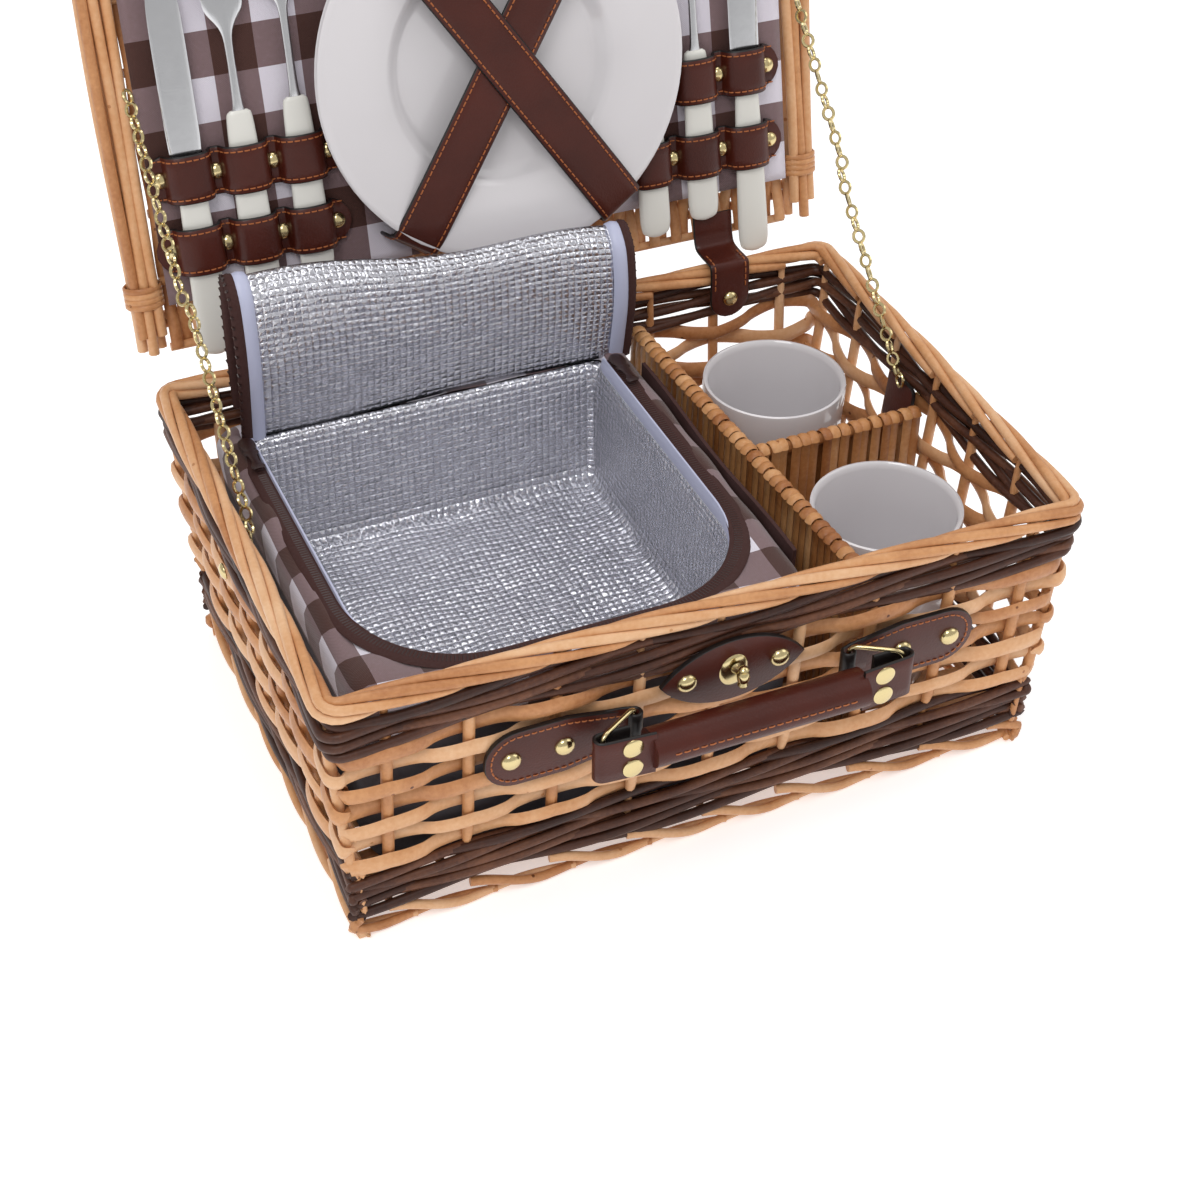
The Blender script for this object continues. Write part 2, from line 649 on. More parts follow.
def partitions():
    """The two partitions: cane wrapped closely over a core of rods."""
    for name, cover, skew in (
        ("long_partition", "partition_long", True), ("cross_partition", "partition_cross", False)
    ):
        low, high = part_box(cover)
        wrap = Bundle()
        bottom, top = low.z + 1 * MM, high.z
        if skew:
            turn = math.radians(3.0)
            along = np.array([-math.sin(turn), math.cos(turn), 0])
            centre = np.array([(low.x + high.x) / 2, MID_Y, 0])
            length = (high.y - low.y) - 3 * MM
        else:
            along = np.array([1.0, 0, 0])
            centre = np.array([(low.x + high.x) / 2 - 1 * MM, (low.y + high.y) / 2, 0])
            length = (high.x - low.x) - 5 * MM
        side = np.array([-along[1], along[0], 0])
        count = round(length / (6.0 * MM))
        for i in range(count):
            a = (i + 0.5) / count - 0.5
            lean = 1.3 * MM * math.sin(2.3 * i)
            base = centre + along * (a * length)
            pts = []
            for t in np.linspace(0, 1, 9):
                pts.append(base + side * 2.9 * MM + np.array([0, 0, bottom + (top - 5 * MM - bottom) * t]))
            for ang in np.linspace(20, 160, 7):
                r = math.radians(ang)
                pts.append(
                    base + along * lean * ang / 160 + side * (4.3 * MM * math.cos(r))
                    + np.array([0, 0, top - 5 * MM + 4.0 * MM * math.sin(r)])
                )
            for t in np.linspace(1, 0, 9):
                pts.append(
                    base + along * lean - side * 2.9 * MM
                    + np.array([0, 0, bottom + (top - 5 * MM - bottom) * t])
                )
            pts = np.array(pts)
            ways = np.array([side if k < 9 else -side for k in range(25)])
            for k in range(9, 16):
                r = math.radians(20 + (k - 9) * 140 / 6)
                ways[k] = side * math.cos(r) + np.array([0, 0, math.sin(r)])
            wrap.add(pts, ways, ellipse(2.75 * MM, 1.0 * MM, 8), shade())
        for z in (top - 5.5 * MM, (top + bottom) / 2, bottom + 4 * MM):
            span = np.linspace(-0.5, 0.5, 10)
            core = centre + along * (span * (length - 2 * MM))[:, None] + np.array([0, 0, z])
            wrap.add(core, np.tile([0, 0, 1.0], (10, 1)), ellipse(2.2 * MM, 3.6 * MM, 8), shade())
        wrap.make(name, ["cane"], "basket", [cover])


# ---------------------------------------------------------------- leather


def flat_leather(name, outline, place, thickness, body, covers=(), stitch=3.0 * MM, hole=None):
    """A flat leather piece from its outline, edges rounded and painted black, with a line of stitches."""
    bm = bmesh.new()
    verts = [bm.verts.new((x, y, -thickness / 2)) for x, y in outline]
    if hole:
        cx, cy, rx, ry = hole
        turns = [math.atan2(y - cy, x - cx) for x, y in outline]
        inner = [
            bm.verts.new((cx + rx * math.cos(a), cy + ry * math.sin(a), -thickness / 2)) for a in turns
        ]
        sides = range(len(verts))
        base = [bm.faces.new((verts[i - 1], verts[i], inner[i], inner[i - 1])) for i in sides]
    else:
        base = [bm.faces.new(verts)]
    got = bmesh.ops.extrude_face_region(bm, geom=base, use_keep_orig=True)
    top = [g for g in got["geom"] if isinstance(g, bmesh.types.BMVert)]
    bmesh.ops.translate(bm, verts=top, vec=(0, 0, thickness))
    bmesh.ops.recalc_face_normals(bm, faces=bm.faces)
    rims = [
        e for e in bm.edges
        if abs(sum(v.co.z for v in e.verts)) > thickness * 0.9 and e.calc_face_angle(0) > 0.6
    ]
    bmesh.ops.bevel(bm, geom=rims, offset=0.45 * MM, segments=2, affect="EDGES", profile=0.6)
    for f in bm.faces:
        f.material_index = 0 if abs(f.normal.z) > 0.97 and f.calc_center_median().z > 0 else 1
        f.smooth = True
    bm.transform(place)
    data = bpy.data.meshes.new(name)
    bm.to_mesh(data)
    bm.free()
    for each in ("leather", "edge"):
        data.materials.append(finish(each))
    data.set_sharp_from_angle(angle=math.radians(50))
    made = bpy.data.objects.new(name, data)
    bpy.context.scene.collection.objects.link(made)
    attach(made, body)
    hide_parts(*covers)
    if stitch:
        pts = np.array(outline)
        centre = pts.mean(0)
        nxt, prv = np.roll(pts, -1, 0), np.roll(pts, 1, 0)
        tangent = unit(nxt - prv)
        normal = np.stack([-tangent[:, 1], tangent[:, 0]], 1)
        flip = np.sign(((centre - pts) * normal).sum(1))[:, None]
        flip[flip == 0] = 1
        line = pts + normal * flip * stitch
        loop = np.vstack([line, line[:1]])
        path = np.column_stack([loop, np.full(len(loop), thickness / 2)])
        world = np.array([place @ Vector(p) for p in path])
        up = np.tile(np.array(place.to_3x3() @ Vector((0, 0, 1))), (len(world), 1))
        stitches(f"{name}_stitches", [(world, up)], body)
    return made


def stitches(name, lines, body, pitch=3.6 * MM):
    """Short proud stitches along each line of points."""
    bundle = Bundle()
    for points, ups in lines:
        seg = np.linalg.norm(np.diff(points, axis=0), axis=1)
        run = np.concatenate([[0], np.cumsum(seg)])
        count = max(1, int(run[-1] / pitch))
        for i in range(count):
            t = np.linspace(0, 1, 5)
            at = (i + 0.14 + 0.72 * t) * run[-1] / count
            p = np.stack([np.interp(at, run, points[:, k]) for k in range(3)], 1)
            n = unit(np.stack([np.interp(at, run, ups[:, k]) for k in range(3)], 1))
            lift = (np.sin(math.pi * t) * 0.32 * MM - 0.02 * MM)[:, None]
            bundle.add(p + n * lift, n, ellipse(0.42 * MM, 0.3 * MM, 5), 0.5)
    return bundle.make(name, ["thread"], body)


def strap(
    name, points, normals, width, thickness, body, covers=(), stitch=2.6 * MM, count=60, seam=True,
    tips=(False, False),
):
    """A leather strap swept along points, black at its edges and stitched near both."""
    p = smooth_path(points, count)
    n = unit(smooth_path(normals, count))
    w, t, r = width / 2, thickness / 2, thickness * 0.35
    section = [
        (-w, -t + r), (-w + r, -t), (-w * 0.5, -t), (w * 0.5, -t), (w - r, -t), (w, -t + r), (w, t - r),
        (w - r, t), (w * 0.5, t), (-w * 0.5, t), (-w + r, t), (-w, t - r),
    ]
    run = np.concatenate([[0], np.cumsum(np.linalg.norm(np.diff(p, axis=0), axis=1))])
    grow = np.ones(count)
    for tip, gone in zip(tips, (run, run[-1] - run)):
        if tip:
            grow = np.minimum(grow, np.sqrt(np.clip(1 - np.clip(1 - gone / w, 0, 1) ** 2, 0.03, 1)))
    verts, faces = sweep(p, n, section, scale=grow)
    k = len(section)
    index = [0 if (f % k) in (7, 8, 9) else 1 for f in range(len(faces) - 2)] + [1, 1]
    made = piece(name, verts, faces, ["leather", "edge"], None, (), index=index, smooth=50)
    outward(made)
    if body:
        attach(made, body)
    if covers:
        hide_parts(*covers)
    if seam and body:
        tangent = unit(np.gradient(p, axis=0))
        across = unit(np.cross(tangent, n))
        lines = [(p + across * side * (w - stitch) + n * t, n) for side in (-1, 1)]
        stitches(f"{name}_stitches", [(a[2:-2], b[2:-2]) for a, b in lines], body)
    return made


def turned(name, profile, place, finishes, body, covers=(), steps=48):
    """A (radius, height) profile spun round its own Z and put in place."""
    bpy.ops.object.select_all(action="DESELECT")
    bpy.ops.mesh.primitive_circle_add(vertices=3, radius=1)
    made = bpy.context.object
    made.name = name
    data = made.data
    data.clear_geometry()
    data.from_pydata([(r, 0, h) for r, h in profile], [(i, i + 1) for i in range(len(profile) - 1)], [])
    bpy.ops.object.mode_set(mode="EDIT")
    bpy.ops.mesh.select_all(action="SELECT")
    bpy.ops.mesh.spin(steps=steps, angle=2 * math.pi, center=(0, 0, 0), axis=(0, 0, 1))
    bpy.ops.mesh.select_all(action="SELECT")
    bpy.ops.mesh.remove_doubles(threshold=0.00001)
    bpy.ops.mesh.normals_make_consistent(inside=False)
    bpy.ops.object.mode_set(mode="OBJECT")
    data.transform(place)
    data.shade_smooth()
    data.set_sharp_from_angle(angle=math.radians(45))
    for each in finishes:
        data.materials.append(finish(each))
    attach(made, body)
    if covers:
        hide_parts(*covers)
    return made


def axes(origin, along, up):
    """A placing matrix: X along, Y up, Z out of their plane."""
    x = Vector(along).normalized()
    z = x.cross(Vector(up)).normalized()
    turn = Matrix((x, z.cross(x), z)).transposed().to_4x4()
    return Matrix.Translation(Vector(origin)) @ turn


def lid_axes(x, s, n):
    """A placing matrix on the lid: X across, Y up the lid, Z proud of it."""
    return axes(on_lid(x, s, n), (1, 0, 0), LID_UP)


def node_middle(name):
    """The middle of a node's box."""
    low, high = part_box(name)
    return (low + high) / 2


def rounded(corners, segments=7):
    """An outline through corners (x, y, radius)."""
    points = []
    for i, (x, y, radius) in enumerate(corners):
        here = Vector((x, y))
        before = (Vector(corners[i - 1][:2]) - here).normalized()
        after = (Vector(corners[(i + 1) % len(corners)][:2]) - here).normalized()
        if radius <= 0:
            points.append((x, y))
            continue
        half = before.angle(after) / 2
        middle = here + (before + after).normalized() * radius / math.sin(half)
        start = here + before * radius / math.tan(half) - middle
        end = here + after * radius / math.tan(half) - middle
        turn = start.angle_signed(end)
        for step in range(segments + 1):
            spun = start.copy()
            spun.rotate(Matrix.Rotation(-turn * step / segments, 2))
            points.append(tuple(middle + spun))
    return points


def stud(name, place, body, radius=5.2 * MM, height=3.4 * MM, covers=()):
    """A domed brass stud on local Z."""
    dome = [(radius * math.cos(a), height * math.sin(a)) for a in np.radians(np.linspace(90, 0, 7))]
    profile = [(0, height)] + dome[1:] + [(radius * 0.96, -0.3 * MM), (0, -0.3 * MM)]
    return turned(name, profile, place, ["brass"], body, covers, 24)


def front_axes(x, z, out):
    """A placing matrix on the leaning front wall: X across, Y up it, Z out."""
    up = Vector((0, -math.sin(WALL_LEAN), math.cos(WALL_LEAN)))
    face = MID_Y - (HALF[1] - FLARE * (1 - z / FLARE_HEIGHT))
    away = Vector((1, 0, 0)).cross(up)
    return axes(Vector((x, face, z)) + away * out, (1, 0, 0), up)


def lock():
    """The pointed leather lock plate, its studs and the brass turning lock."""
    middle = node_middle("lock_plate")
    x, z = middle.x, middle.z
    half, tall = 38 * MM, 20 * MM
    radius = (half**2 + tall**2) / (2 * tall)
    sweep_angle = math.asin(half / radius)
    upper = [
        (radius * math.sin(a), radius * math.cos(a) - radius + tall)
        for a in np.linspace(sweep_angle, -sweep_angle, 17)
    ]
    lower = [(-px, -py) for px, py in upper]
    outline = upper[:-1] + lower[:-1]
    flat_leather("lock_leather", outline, front_axes(x, z, 1.9 * MM), 2.6 * MM, "basket", ["lock_plate"], 0)
    for side, cad in ((-1, "lock_stud_left"), (1, "lock_stud_right")):
        place = front_axes(x + side * 24.5 * MM, z, 3.3 * MM)
        stud(cad.replace("lock_", "plate_"), place, "basket", covers=[cad])
    plate = [(0, 1.5 * MM), (6.2 * MM, 1.5 * MM), (8.2 * MM, 0.8 * MM), (8.8 * MM, 0), (0, 0)]
    place = front_axes(x, z, 3.2 * MM) @ Matrix.Diagonal((0.85, 1.15, 1, 1))
    turned("turn_lock_base", plate, place, ["brass"], "basket", ["turn_lock_plate"], 32)
    knob = node_middle("turn_lock_knob")
    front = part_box("turn_lock_knob")
    # the knob: a stem, then a flat ball-ended paddle
    stem = [
        (0, 0), (3.0 * MM, 0), (2.2 * MM, 2 * MM), (2.0 * MM, 5 * MM), (2.6 * MM, 6.0 * MM), (0, 6.4 * MM)
    ]
    place = axes((knob.x, front[1].y - 0.4 * MM, knob.z), (1, 0, 0), (0, 0, 1))
    turned("turn_lock_stem", stem, place, ["brass"], "turn_knob", ["turn_lock_knob"], 20)
    paddle = [
        (0, 6.4 * MM), (1.8 * MM, 5.9 * MM), (2.6 * MM, 4.6 * MM), (2.0 * MM, 3.2 * MM),
        (2.9 * MM, 2.0 * MM), (3.2 * MM, 0.4 * MM), (2.9 * MM, -1.6 * MM), (2.0 * MM, -3.0 * MM),
        (2.6 * MM, -4.6 * MM), (1.8 * MM, -5.9 * MM), (0, -6.2 * MM),
    ]
    place = Matrix.Translation((knob.x, front[0].y + 2.8 * MM, knob.z))
    turned("turn_lock_paddle", paddle, place, ["brass"], "turn_knob", (), 20)


def handle():
    """The handle: two stitched patches, studs, wire rings, folded tabs with rivets, and the rolled grip."""
    grip_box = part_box("handle_grip")
    cx = (grip_box[0].x + grip_box[1].x) / 2
    gz = (grip_box[0].z + grip_box[1].z) / 2
    grip_y = grip_box[0].y + 11 * MM
    # rolled grip: a slightly flattened tube with a flange where its edges are sewn together
    x = np.linspace(-0.0560, 0.0560, 40)
    p = np.column_stack([cx + x, np.full(40, grip_y + 0.2 * MM), gz + 0 * x])
    section = ellipse(9.4 * MM, 10.4 * MM, 28)
    verts, faces = sweep(p, np.tile([0, -1.0, 0], (40, 1)), section)
    made = piece("rolled_grip", verts, faces, ["leather"], None, smooth=50)
    outward(made)
    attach(made, "grip")
    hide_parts("handle_grip")
    seam = np.column_stack([cx + x * 0.86, np.full(40, grip_y - 10.1 * MM), np.full(40, gz + 1.5 * MM)])
    stitches("grip_stitches", [(seam, np.tile([0, -1.0, -0.1], (40, 1)))], "grip", 4.2 * MM)
    for side, name in ((-1, "left"), (1, "right")):
        # patch on the wall
        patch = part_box(f"handle_patch_{name}")
        pz = (patch[0].z + patch[1].z) / 2
        outer = patch[0].x if side < 0 else patch[1].x
        inner = cx + side * 58 * MM
        long = abs(outer - inner) / 2
        mid = (outer + inner) / 2
        corners = [
            (side * long, -18 * MM, 17 * MM), (-side * 0.15 * long, -18 * MM, 12 * MM),
            (-side * long, -12 * MM, 3 * MM), (-side * long, 12 * MM, 3 * MM),
            (-side * 0.15 * long, 18 * MM, 12 * MM), (side * long, 18 * MM, 17 * MM),
        ]
        flat_leather(
            f"patch_leather_{name}", rounded(corners), front_axes(mid, pz, 1.9 * MM), 2.6 * MM, "basket",
            [f"handle_patch_{name}"], 3.2 * MM,
        )
        for where in ("outer", "inner"):
            cad = f"patch_stud_{name}_{where}"
            at = node_middle(cad)
            stud(f"stud_{name}_{where}", front_axes(at.x, at.z, 3.3 * MM), "basket", covers=[cad])
        bar_in = cx + side * 56.5 * MM
        bar_out = cx + side * 79.5 * MM
        y_in = MID_Y - HALF[1] - 3 * MM
        y_out = y_in - 14 * MM
        # the patch's end folds round the ring's inner bar
        fold = [(inner + side * 12 * MM, y_in + 5.5 * MM), (inner + side * 4 * MM, y_in + 4.6 * MM)]
        for a in np.linspace(80, -170, 7):
            r = math.radians(a)
            fold.append((bar_in - side * 3.0 * MM * math.cos(r), y_in + 3.0 * MM * math.sin(r)))
        pts = np.array([(fx, fy, gz) for fx, fy in fold])
        strap(
            f"patch_fold_{name}", pts, -side * fold_normals(pts), 20 * MM, 1.8 * MM, "basket", (),
            count=36, seam=False,
        )
        # handle end: a folded tab from the grip round the outer bar
        tab = [
            (cx + side * 54.5 * MM, y_out - 5.6 * MM), (cx + side * 66 * MM, y_out - 4.6 * MM),
            (bar_out - side * 2 * MM, y_out - 3.8 * MM),
        ]
        for a in np.linspace(-70, 75, 6):
            r = math.radians(a)
            tab.append((bar_out + side * 3.5 * MM * math.cos(r), y_out + 3.5 * MM * math.sin(r)))
        tab += [(bar_out - side * 3 * MM, y_out + 3.6 * MM), (cx + side * 64 * MM, y_out + 3.4 * MM)]
        pts = np.array([(tx, ty, gz) for tx, ty in tab])
        strap(
            f"grip_tab_{name}", pts, side * fold_normals(pts), 25 * MM, 1.9 * MM, "grip", (), count=48,
            seam=False,
        )
        for k in (-1, 1):
            place = axes((cx + side * 66 * MM, y_out - 5.6 * MM, gz + k * 6.2 * MM), (1, 0, 0), (0, 0, 1))
            disc = [
                (0, 1.2 * MM), (4.2 * MM, 1.1 * MM), (5.2 * MM, 0.5 * MM), (5.3 * MM, -0.4 * MM),
                (0, -0.4 * MM),
            ]
            turned(f"rivet_{name}_{'lower' if k < 0 else 'upper'}", disc, place, ["brass"], "grip", (), 24)
        wire = Bundle()
        reach = np.array([bar_out - bar_in, y_out - y_in])
        w = float(np.linalg.norm(reach))
        half, bend = 12.6 * MM, 4.6 * MM
        loop = rounded([(0, -half, bend), (w, -half, bend), (w, half, bend), (0, half, bend)], 6)
        dirn = reach / w
        p = np.array([(bar_in + dirn[0] * a, y_in + dirn[1] * a, gz + b) for a, b in loop])
        p = resample(p, 48)
        out = np.tile([dirn[1], -dirn[0], 0], (len(p), 1))
        wire.add(p, out, ellipse(1.25 * MM, 1.25 * MM, 8), 0.5, True)
        wire.make(f"wire_ring_{name}", ["brass"], f"handle_ring_{name}", [f"handle_ring_{name}"])


def resample(points, count):
    """A closed loop at even spacing."""
    loop = np.vstack([points, points[:1]])
    run = np.concatenate([[0], np.cumsum(np.linalg.norm(np.diff(loop, axis=0), axis=1))])
    at = np.linspace(0, run[-1], count, endpoint=False)
    return np.stack([np.interp(at, run, loop[:, k]) for k in range(3)], 1)


def fold_normals(points):
    """Normals of a path seen from above, square to it."""
    t = unit(np.gradient(points, axis=0))
    return np.stack([t[:, 1], -t[:, 0], 0 * t[:, 0]], 1)


def lid_straps():
    """The cutlery loops with their studs, and the two straps crossed over the plates."""
    for side in ("left", "right"):
        for level in ("lower", "upper"):
            cad = f"cutlery_strap_{side}_{level}"
            low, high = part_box(cad)
            s, middle = STRAP_RUNS[side, level], CUTLERY_MIDDLES[side]
            x_low, x_high = low.x, high.x
            pts = [(x_low - 3 * MM, 1.6)]
            for i in (-1, 0, 1):
                c = middle * 1000 + i * 30
                for dx, n in (
                    (-13.2, 1.7), (-11.8, 3.2), (-10.2, 7.6), (-6.2, 10.3), (0, 11.2), (6.2, 10.3),
                    (10.2, 7.6), (11.8, 3.2), (13.2, 1.7),
                ):
                    pts.append(((c + dx) / 1000, n))
            pts.append((x_high + 3 * MM, 1.6))
            p = np.array([on_lid(a, s, b * MM) for a, b in pts])
            t = unit(np.gradient(p, axis=0))
            n = np.cross(t, LID_UP)
            n = n * np.sign((n @ LID_OUT))[:, None]
            strap(
                cad.replace("cutlery_strap", "cutlery_loops"), p, n, 25 * MM, 1.8 * MM, "lid", [cad],
                count=150, tips=(True, True),
            )
            offsets = (-0.0445, -0.015, 0.015, 0.0445) if side == "left" else (-0.015, 0.015, 0.0445)
            for k, x in enumerate(middle + d for d in offsets):
                stud(f"loop_stud_{side}_{level}_{k}", lid_axes(x, s, 2.4 * MM), "lid", 4.4 * MM, 3.2 * MM)
    for cad, turn, lift in (("plate_strap_under", 56, 0.0), ("plate_strap_over", -56, 1.95 * MM)):
        angle = math.radians(turn)
        along = np.array([math.cos(angle), math.sin(angle)])
        path = []
        for a, n in (
            (-107.6, 1.6), (-107.0, 8.0), (-105.5, 15.5), (-99.0, 20.6), (-60.0, 22.2), (0.0, 22.6),
            (60.0, 22.2), (99.0, 20.6), (105.5, 15.5), (107.0, 8.0), (107.6, 1.6),
        ):
            a += math.copysign(1.7, a) * (a != 0)
            x, s = PLATE_X + along[0] * a * MM, PLATE_STRAPS_UP + along[1] * a * MM
            path.append(on_lid(x, s, n * MM + lift))
        p = np.array(path)
        t = unit(np.gradient(p, axis=0))
        across = np.array(axes((0, 0, 0), (1, 0, 0), LID_UP).to_3x3() @ Vector((-along[1], along[0], 0)))
        n = np.cross(t, across)
        n = n * np.sign(n @ LID_OUT + 1e-9)[:, None]
        strap(cad.replace("strap", "band"), p, n, 27 * MM, 1.9 * MM, "lid", [cad], count=110)


def hinges():
    """Two leather hinge straps, each from inside the wall, over the rim and up the lid."""
    rim_y = RIM[1].y
    for side, name in ((-1, "left"), (1, "right")):
        x = side * HINGE_X
        inner = rim_y - 14.6 * MM
        top = RIM[1].z + 2.0 * MM
        pts = [
            (inner - 0.6 * MM, 0.1325), (inner - 0.4 * MM, 0.139), (inner - 0.2 * MM, 0.150),
            (inner + 1.2 * MM, top - 1.2 * MM), (inner + 5 * MM, top + 0.6 * MM),
            (rim_y - 1 * MM, top + 0.5 * MM), (rim_y + 6 * MM, top + 1.6 * MM),
        ]
        path = [np.array([x, a, b]) for a, b in pts]
        path += [on_lid(x, s, 2.2 * MM) for s in (0.001, 0.006, 0.010, 0.014)]
        p = np.array(path)
        t = unit(np.gradient(p, axis=0))
        n = np.stack([0 * t[:, 0], -t[:, 2], t[:, 1]], 1)
        made = strap(f"hinge_strap_{name}", p, n, 24 * MM, 1.8 * MM, None, (), count=80, tips=(True, False))
        tuple(on_lid(x, 0.006, 0.0))
        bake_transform(made)
        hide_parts(f"hinge_leaf_base_{name}", f"hinge_leaf_lid_{name}")
        path, face = smooth_path(p, 80), unit(smooth_path(n, 80))
        path = path[16:40] + face[16:40] * 0.9 * MM
        seams = [(path + np.array([side * 9.4 * MM, 0, 0]), face[16:40]) for side in (-1, 1)]
        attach(stitches(f"hinge_stitches_{name}", seams, None), "basket")
        place = axes((x, inner - 1.4 * MM, 0.1445), (1, 0, 0), (0, 0, 1))
        stud(f"hinge_stud_{name}", place, "basket", 4.6 * MM, 3.0 * MM)


def chains():
    """Brass chains from the tabs on the base's side walls to the lid."""
    length = bpy.context.scene.basket.link
    for side, name in ((-1, "left"), (1, "right")):
        base = next(j for j in FRAME["joints"] if j["name"] == f"chain_lower_{name}_turn")["pos_m"]
        lid = next(j for j in FRAME["joints"] if j["name"] == f"chain_upper_{name}_turn")["pos_m"]
        low, high = (np.array([side * CHAIN_X, *end[1:]]) for end in (base, lid))
        total = np.linalg.norm(high - low)
        count = round(total / (length * 0.8))
        along = (high - low) / total
        wide = np.array([1.0, 0, 0])
        thin = np.cross(along, wide)
        knee = total * KNEE
        halves = {"lower": Bundle(), "upper": Bundle()}
        for i in range(count):
            at = (i + 0.5) / count
            half = "lower" if at * total < knee else "upper"
            centre = low + along * (at * total) + wide * side * (-1.2 if half == "lower" else 1.2) * MM
            lean = math.radians(45 + 8 * math.sin(i * 1.9) + (90 if i % 2 else 0))
            across = wide * math.cos(lean) + thin * math.sin(lean)
            out = np.cross(along, across)
            turns = np.linspace(0, 2 * math.pi, 14, endpoint=False)
            p = centre + along * (np.cos(turns) * (length / 2 - 0.9 * MM))[:, None]
            p = p + across * (np.sin(turns) * 2.9 * MM)[:, None]
            halves[half].add(p, np.tile(out, (14, 1)), ellipse(0.9 * MM, 0.9 * MM, 6), 0.5, True)
        for half, bundle in halves.items():
            bundle.make(
                f"chain_links_{half}_{name}", ["brass"], f"chain_{half}_{name}", [f"chain_{half}_{name}"]
            )
        tab = node_middle(f"chain_tab_{name}")
        corners = ((-13, -17, 9), (13, -17, 9), (13, 17, 4), (-13, 17, 4))
        outline = rounded([(a * MM, b * MM, c * MM) for a, b, c in corners])
        up = (side * math.sin(WALL_LEAN), 0, math.cos(WALL_LEAN))
        place = axes(tab, (0, -side, 0), up)
        flat_leather(f"chain_tongue_{name}", outline, place, 2.2 * MM, "basket", [f"chain_tab_{name}"], 0)
        ring = Bundle()
        turns = np.linspace(0, 2 * math.pi, 16, endpoint=False)
        p = np.array(
            [low + np.array([0, 3.4 * MM * math.cos(a), -2 * MM + 4.2 * MM * math.sin(a)]) for a in turns]
        )
        ring.add(p, np.tile([1.0, 0, 0], (16, 1)), ellipse(0.8 * MM, 0.8 * MM, 6), 0.5, True)
        ring.make(f"chain_staple_{name}", ["brass"], "basket")
        # the outer end of the fixing shows on the outside wall
        outer = side * (HALF[0] - FLARE * (1 - 0.125 / FLARE_HEIGHT))
        place = axes((outer, tab.y, 0.122), (0, side, 0), up)
        stud(f"chain_rivet_{name}", place, "basket", 4.4 * MM, 2.6 * MM)


def hasp():
    """The leather hasp on the lid's front edge."""
    x, s = node_middle("hasp_strap").x, HASP_UP
    corners = ((-13, -16.5, 2), (13, -16.5, 2), (13, 67.8, 11), (-13, 67.8, 11))
    outline = rounded([(a * MM, b * MM, c * MM) for a, b, c in corners])
    outline = resample(np.column_stack([outline, np.zeros(len(outline))]), 96)[:, :2]
    place = axes(on_lid(x, s, 0.0), (-1, 0, 0), LID_OUT)
    across, up, middle = 5.6 * MM, 8.6 * MM, 45.6 * MM
    hole = (0, middle, across, up)
    flat_leather("hasp_leather", outline, place, 2.2 * MM, "hasp", ["hasp_strap"], 3 * MM, hole)
    eyelet = Bundle()
    turns = np.linspace(0, 2 * math.pi, 28, endpoint=False)
    p = on_lid(x + across * np.cos(turns), s + 1.2 * MM, middle + up * np.sin(turns))
    eyelet.add(p, np.tile(LID_UP, (28, 1)), ellipse(1.3 * MM, 0.9 * MM, 8), 0.5, True)
    eyelet.make("hasp_eyelet", ["brass"], "hasp")


# ---------------------------------------------------------------- table things


def mugs():
    """Two glazed mugs without handles."""
    for name in ("mug_front", "mug_back"):
        low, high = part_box(name)
        place = Matrix.Translation(((low.x + high.x) / 2, (low.y + high.y) / 2, low.z))
        h = high.z - low.z
        mm = [
            (0, 1.4), (25, 1.4), (26, 0), (28.5, 0), (30.2, 2.2), (33.2, 18), (36.4, 46), (38.6, 76),
            (39.7, h * 1000 - 2), (39.4, h * 1000 - 0.4), (38.2, h * 1000), (37.1, h * 1000 - 0.9),
            (36.4, h * 1000 - 4), (35.2, 76), (33.0, 46), (29.8, 18), (26.5, 8), (22, 5.2), (0, 4.8),
        ]
        turned(f"{name}_glazed", [(a * MM, b * MM) for a, b in mm], place, ["china"], name, [name], 64)


def plates():
    """Two stacked plates behind the crossed straps."""
    for i, name in enumerate(("plate_back", "plate_front")):
        place = lid_axes(PLATE_X, PLATE_UP, 2.2 * MM + i * 4.5 * MM)
        mm = [
            (0, 0.6), (50, 0.5), (52, 0), (55.5, 0), (57.6, 0.5), (61, 4.2), (65.0, 8.1), (80, 10.2),
            (97, 12.2), (100.6, 13.2), (101.4, 14.0), (100.6, 14.5), (97, 14.2), (80, 12.4), (64.0, 10.4),
            (60.0, 7.2), (56.6, 3.2), (53, 2.3), (0, 2.3),
        ]
        turned(f"{name}_glazed", [(a * MM, b * MM) for a, b in mm], place, ["china"], name, [name], 96)


def lofted(bundle, stations, x, start, index):
    """A flat tapering bar up the lid through stations (height, half width, half thickness, rise) in mm."""
    st = np.array(stations, float) * MM
    fine = smooth_path(st, 5 * len(st))
    verts, faces = [], []
    k = 16
    for h, w, t, rise in fine:
        for j in range(k):
            a = 2 * math.pi * j / k
            ca, sa = math.cos(a), math.sin(a)
            px = math.copysign(abs(ca) ** 0.75, ca) * w
            pn = math.copysign(abs(sa) ** 0.75, sa) * t
            verts.append(on_lid(x + px, start + h, CUTLERY_LEVEL + rise + pn))
    m = len(fine)
    for j in range(m - 1):
        for i in range(k):
            faces.append((j * k + i, j * k + (i + 1) % k, (j + 1) * k + (i + 1) % k, (j + 1) * k + i))
    faces.append(tuple(range(k - 1, -1, -1)))
    faces.append(tuple(range((m - 1) * k, m * k)))
    bundle.verts.append(np.array(verts))
    bundle.faces += [tuple(i + bundle.count for i in f) for f in faces]
    bundle.tint += [0.5] * len(verts)
    bundle.index += [index] * len(faces)
    bundle.count += len(verts)


